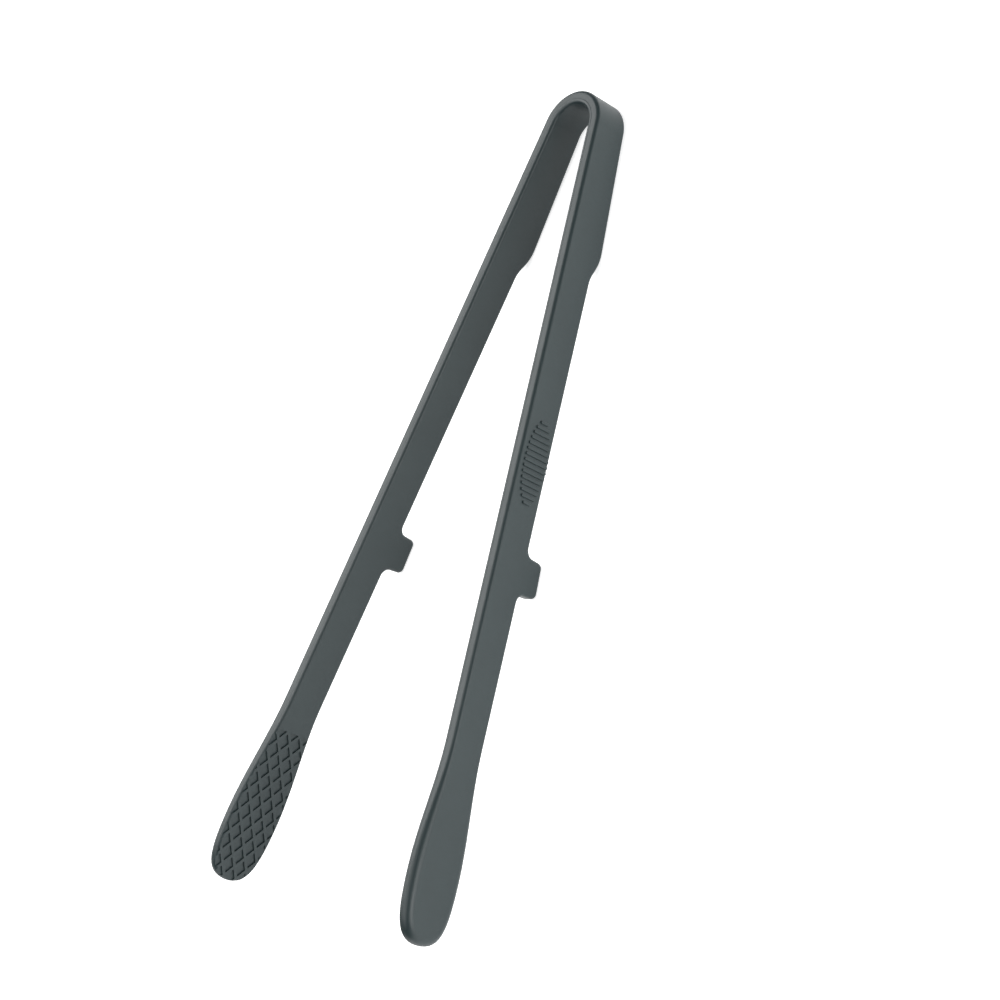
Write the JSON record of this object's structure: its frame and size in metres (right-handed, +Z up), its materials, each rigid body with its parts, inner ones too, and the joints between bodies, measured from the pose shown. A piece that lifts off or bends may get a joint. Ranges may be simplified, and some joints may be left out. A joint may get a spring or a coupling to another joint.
{
  "type": "spring loaded kitchen tongs",
  "caption": "Kitchen tongs with two silicone padded arms joined by a sprung bow, oval gripping tips, finger ribs and rest tabs on the back edge.",
  "frame": {"origin": "middle of the outer box, on the surface that the tongs lie on", "axes": "+X from the bow to the tips, +Y towards the right arm, +Z up, across the arms' width from the rest tabs to the plain front edge"},
  "size_m": [0.29, 0.1072, 0.0298],
  "materials": {
    "silicone": "matte slate grey silicone",
    "nylon": "moulded, matte, dark grey",
    "steel": "spring temper, fine brushed"
  },
  "bodies": {
    "bow": {"spring_bow": "steel", "bow_jacket": "silicone"},
    "left_arm": {"left_core": "nylon", "left_jacket": "silicone", "left_rivet_1": "steel", "left_rivet_2": "steel"},
    "right_arm": {"right_core": "nylon", "right_jacket": "silicone", "right_rivet_1": "steel", "right_rivet_2": "steel"}
  },
  "joints": [
    {"name": "left_squeeze", "type": "hinge", "parent": "bow", "child": "left_arm", "pos_m": [-0.13849, -0.00681, 0.00727], "axis": [-0.0449, 0, 0.999], "range_deg": [0, 9.8], "stiffness_Nm_per_rad": 4.3, "deforming": ["spring_bow", "bow_jacket"]},
    {"name": "right_squeeze", "type": "hinge", "parent": "bow", "child": "right_arm", "pos_m": [-0.13849, 0.00681, 0.00727], "axis": [0.0449, 0, -0.999], "range_deg": [0, 9.8], "stiffness_Nm_per_rad": 4.3, "deforming": ["spring_bow", "bow_jacket"]}
  ],
  "couplings": [
    {"joint": "right_squeeze", "follows": "left_squeeze", "ratio": 1}
  ]
}
